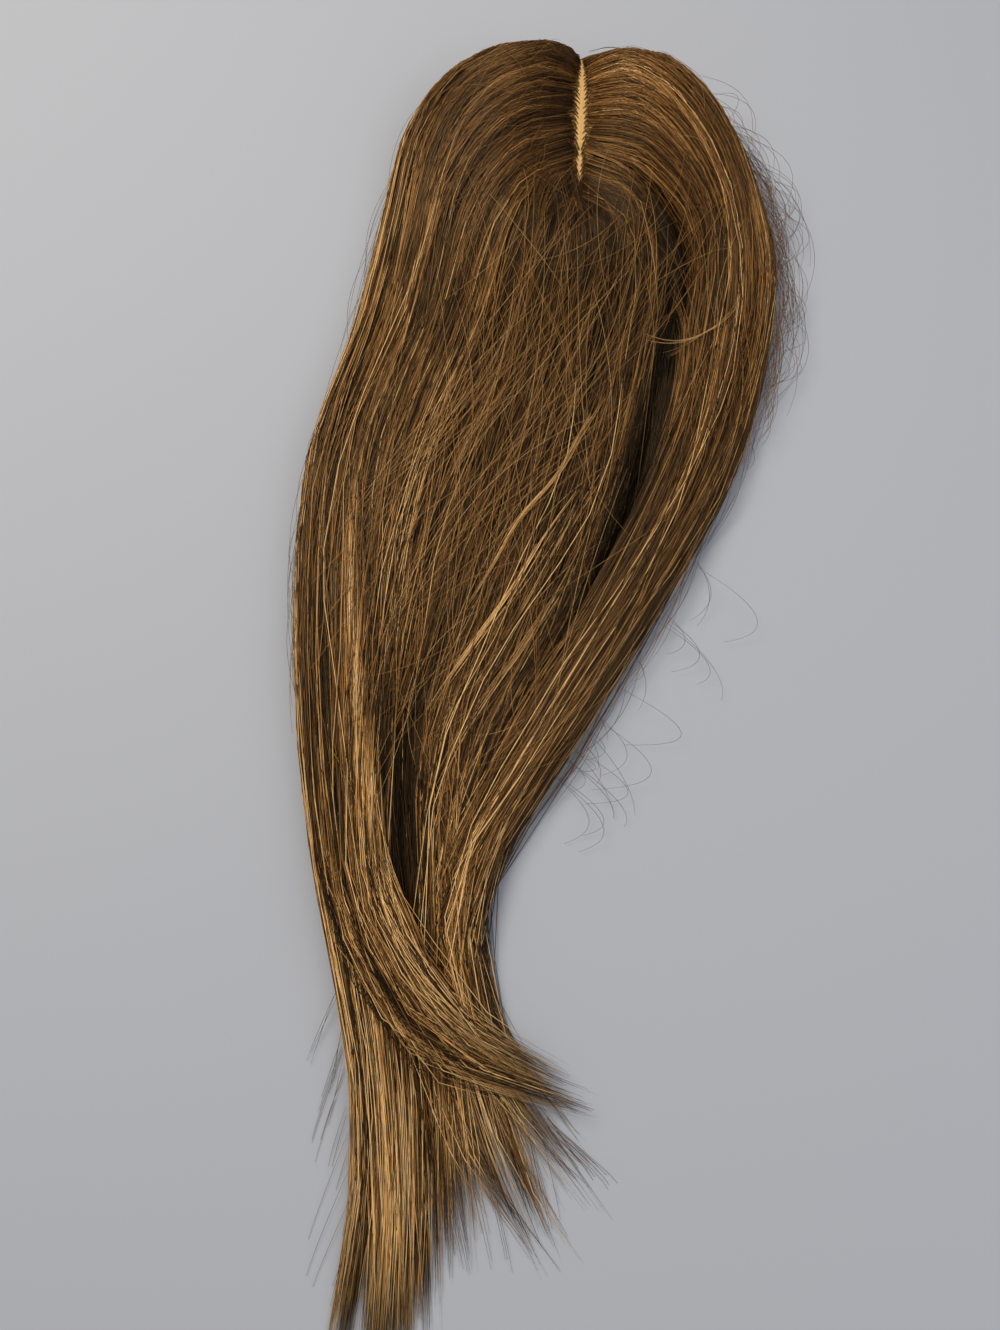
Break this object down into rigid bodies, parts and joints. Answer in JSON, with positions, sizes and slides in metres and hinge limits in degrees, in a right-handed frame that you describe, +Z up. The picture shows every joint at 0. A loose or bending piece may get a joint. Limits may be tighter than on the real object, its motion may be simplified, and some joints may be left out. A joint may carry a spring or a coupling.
{
  "type": "clip-in hair topper",
  "caption": "Clip-in hair topper with a domed base, a middle parting and long straight brown hair in locks, lying flat with the tips swept to one side; plain clips under the base hold it on.",
  "frame": {"origin": "on the surface that the topper lies on, under the middle of its bounding box", "axes": "+Y along the hair from the tips to the front hairline, +Z up from the surface"},
  "size_m": [0.1758, 0.473, 0.0339],
  "materials": {
    "scalp_mesh": "matt fine mesh in skin colour",
    "brown_hair": "silky straight strands",
    "clip_metal": "satin dark brown paint"
  },
  "bodies": {
    "root": {"scalp_base": "scalp_mesh", "hair_left": "brown_hair", "hair_right": "brown_hair", "hair_back": "brown_hair", "clip_front_left": "clip_metal", "clip_front_right": "clip_metal", "clip_back_left": "clip_metal", "clip_back_right": "clip_metal"}
  },
  "joints": []
}
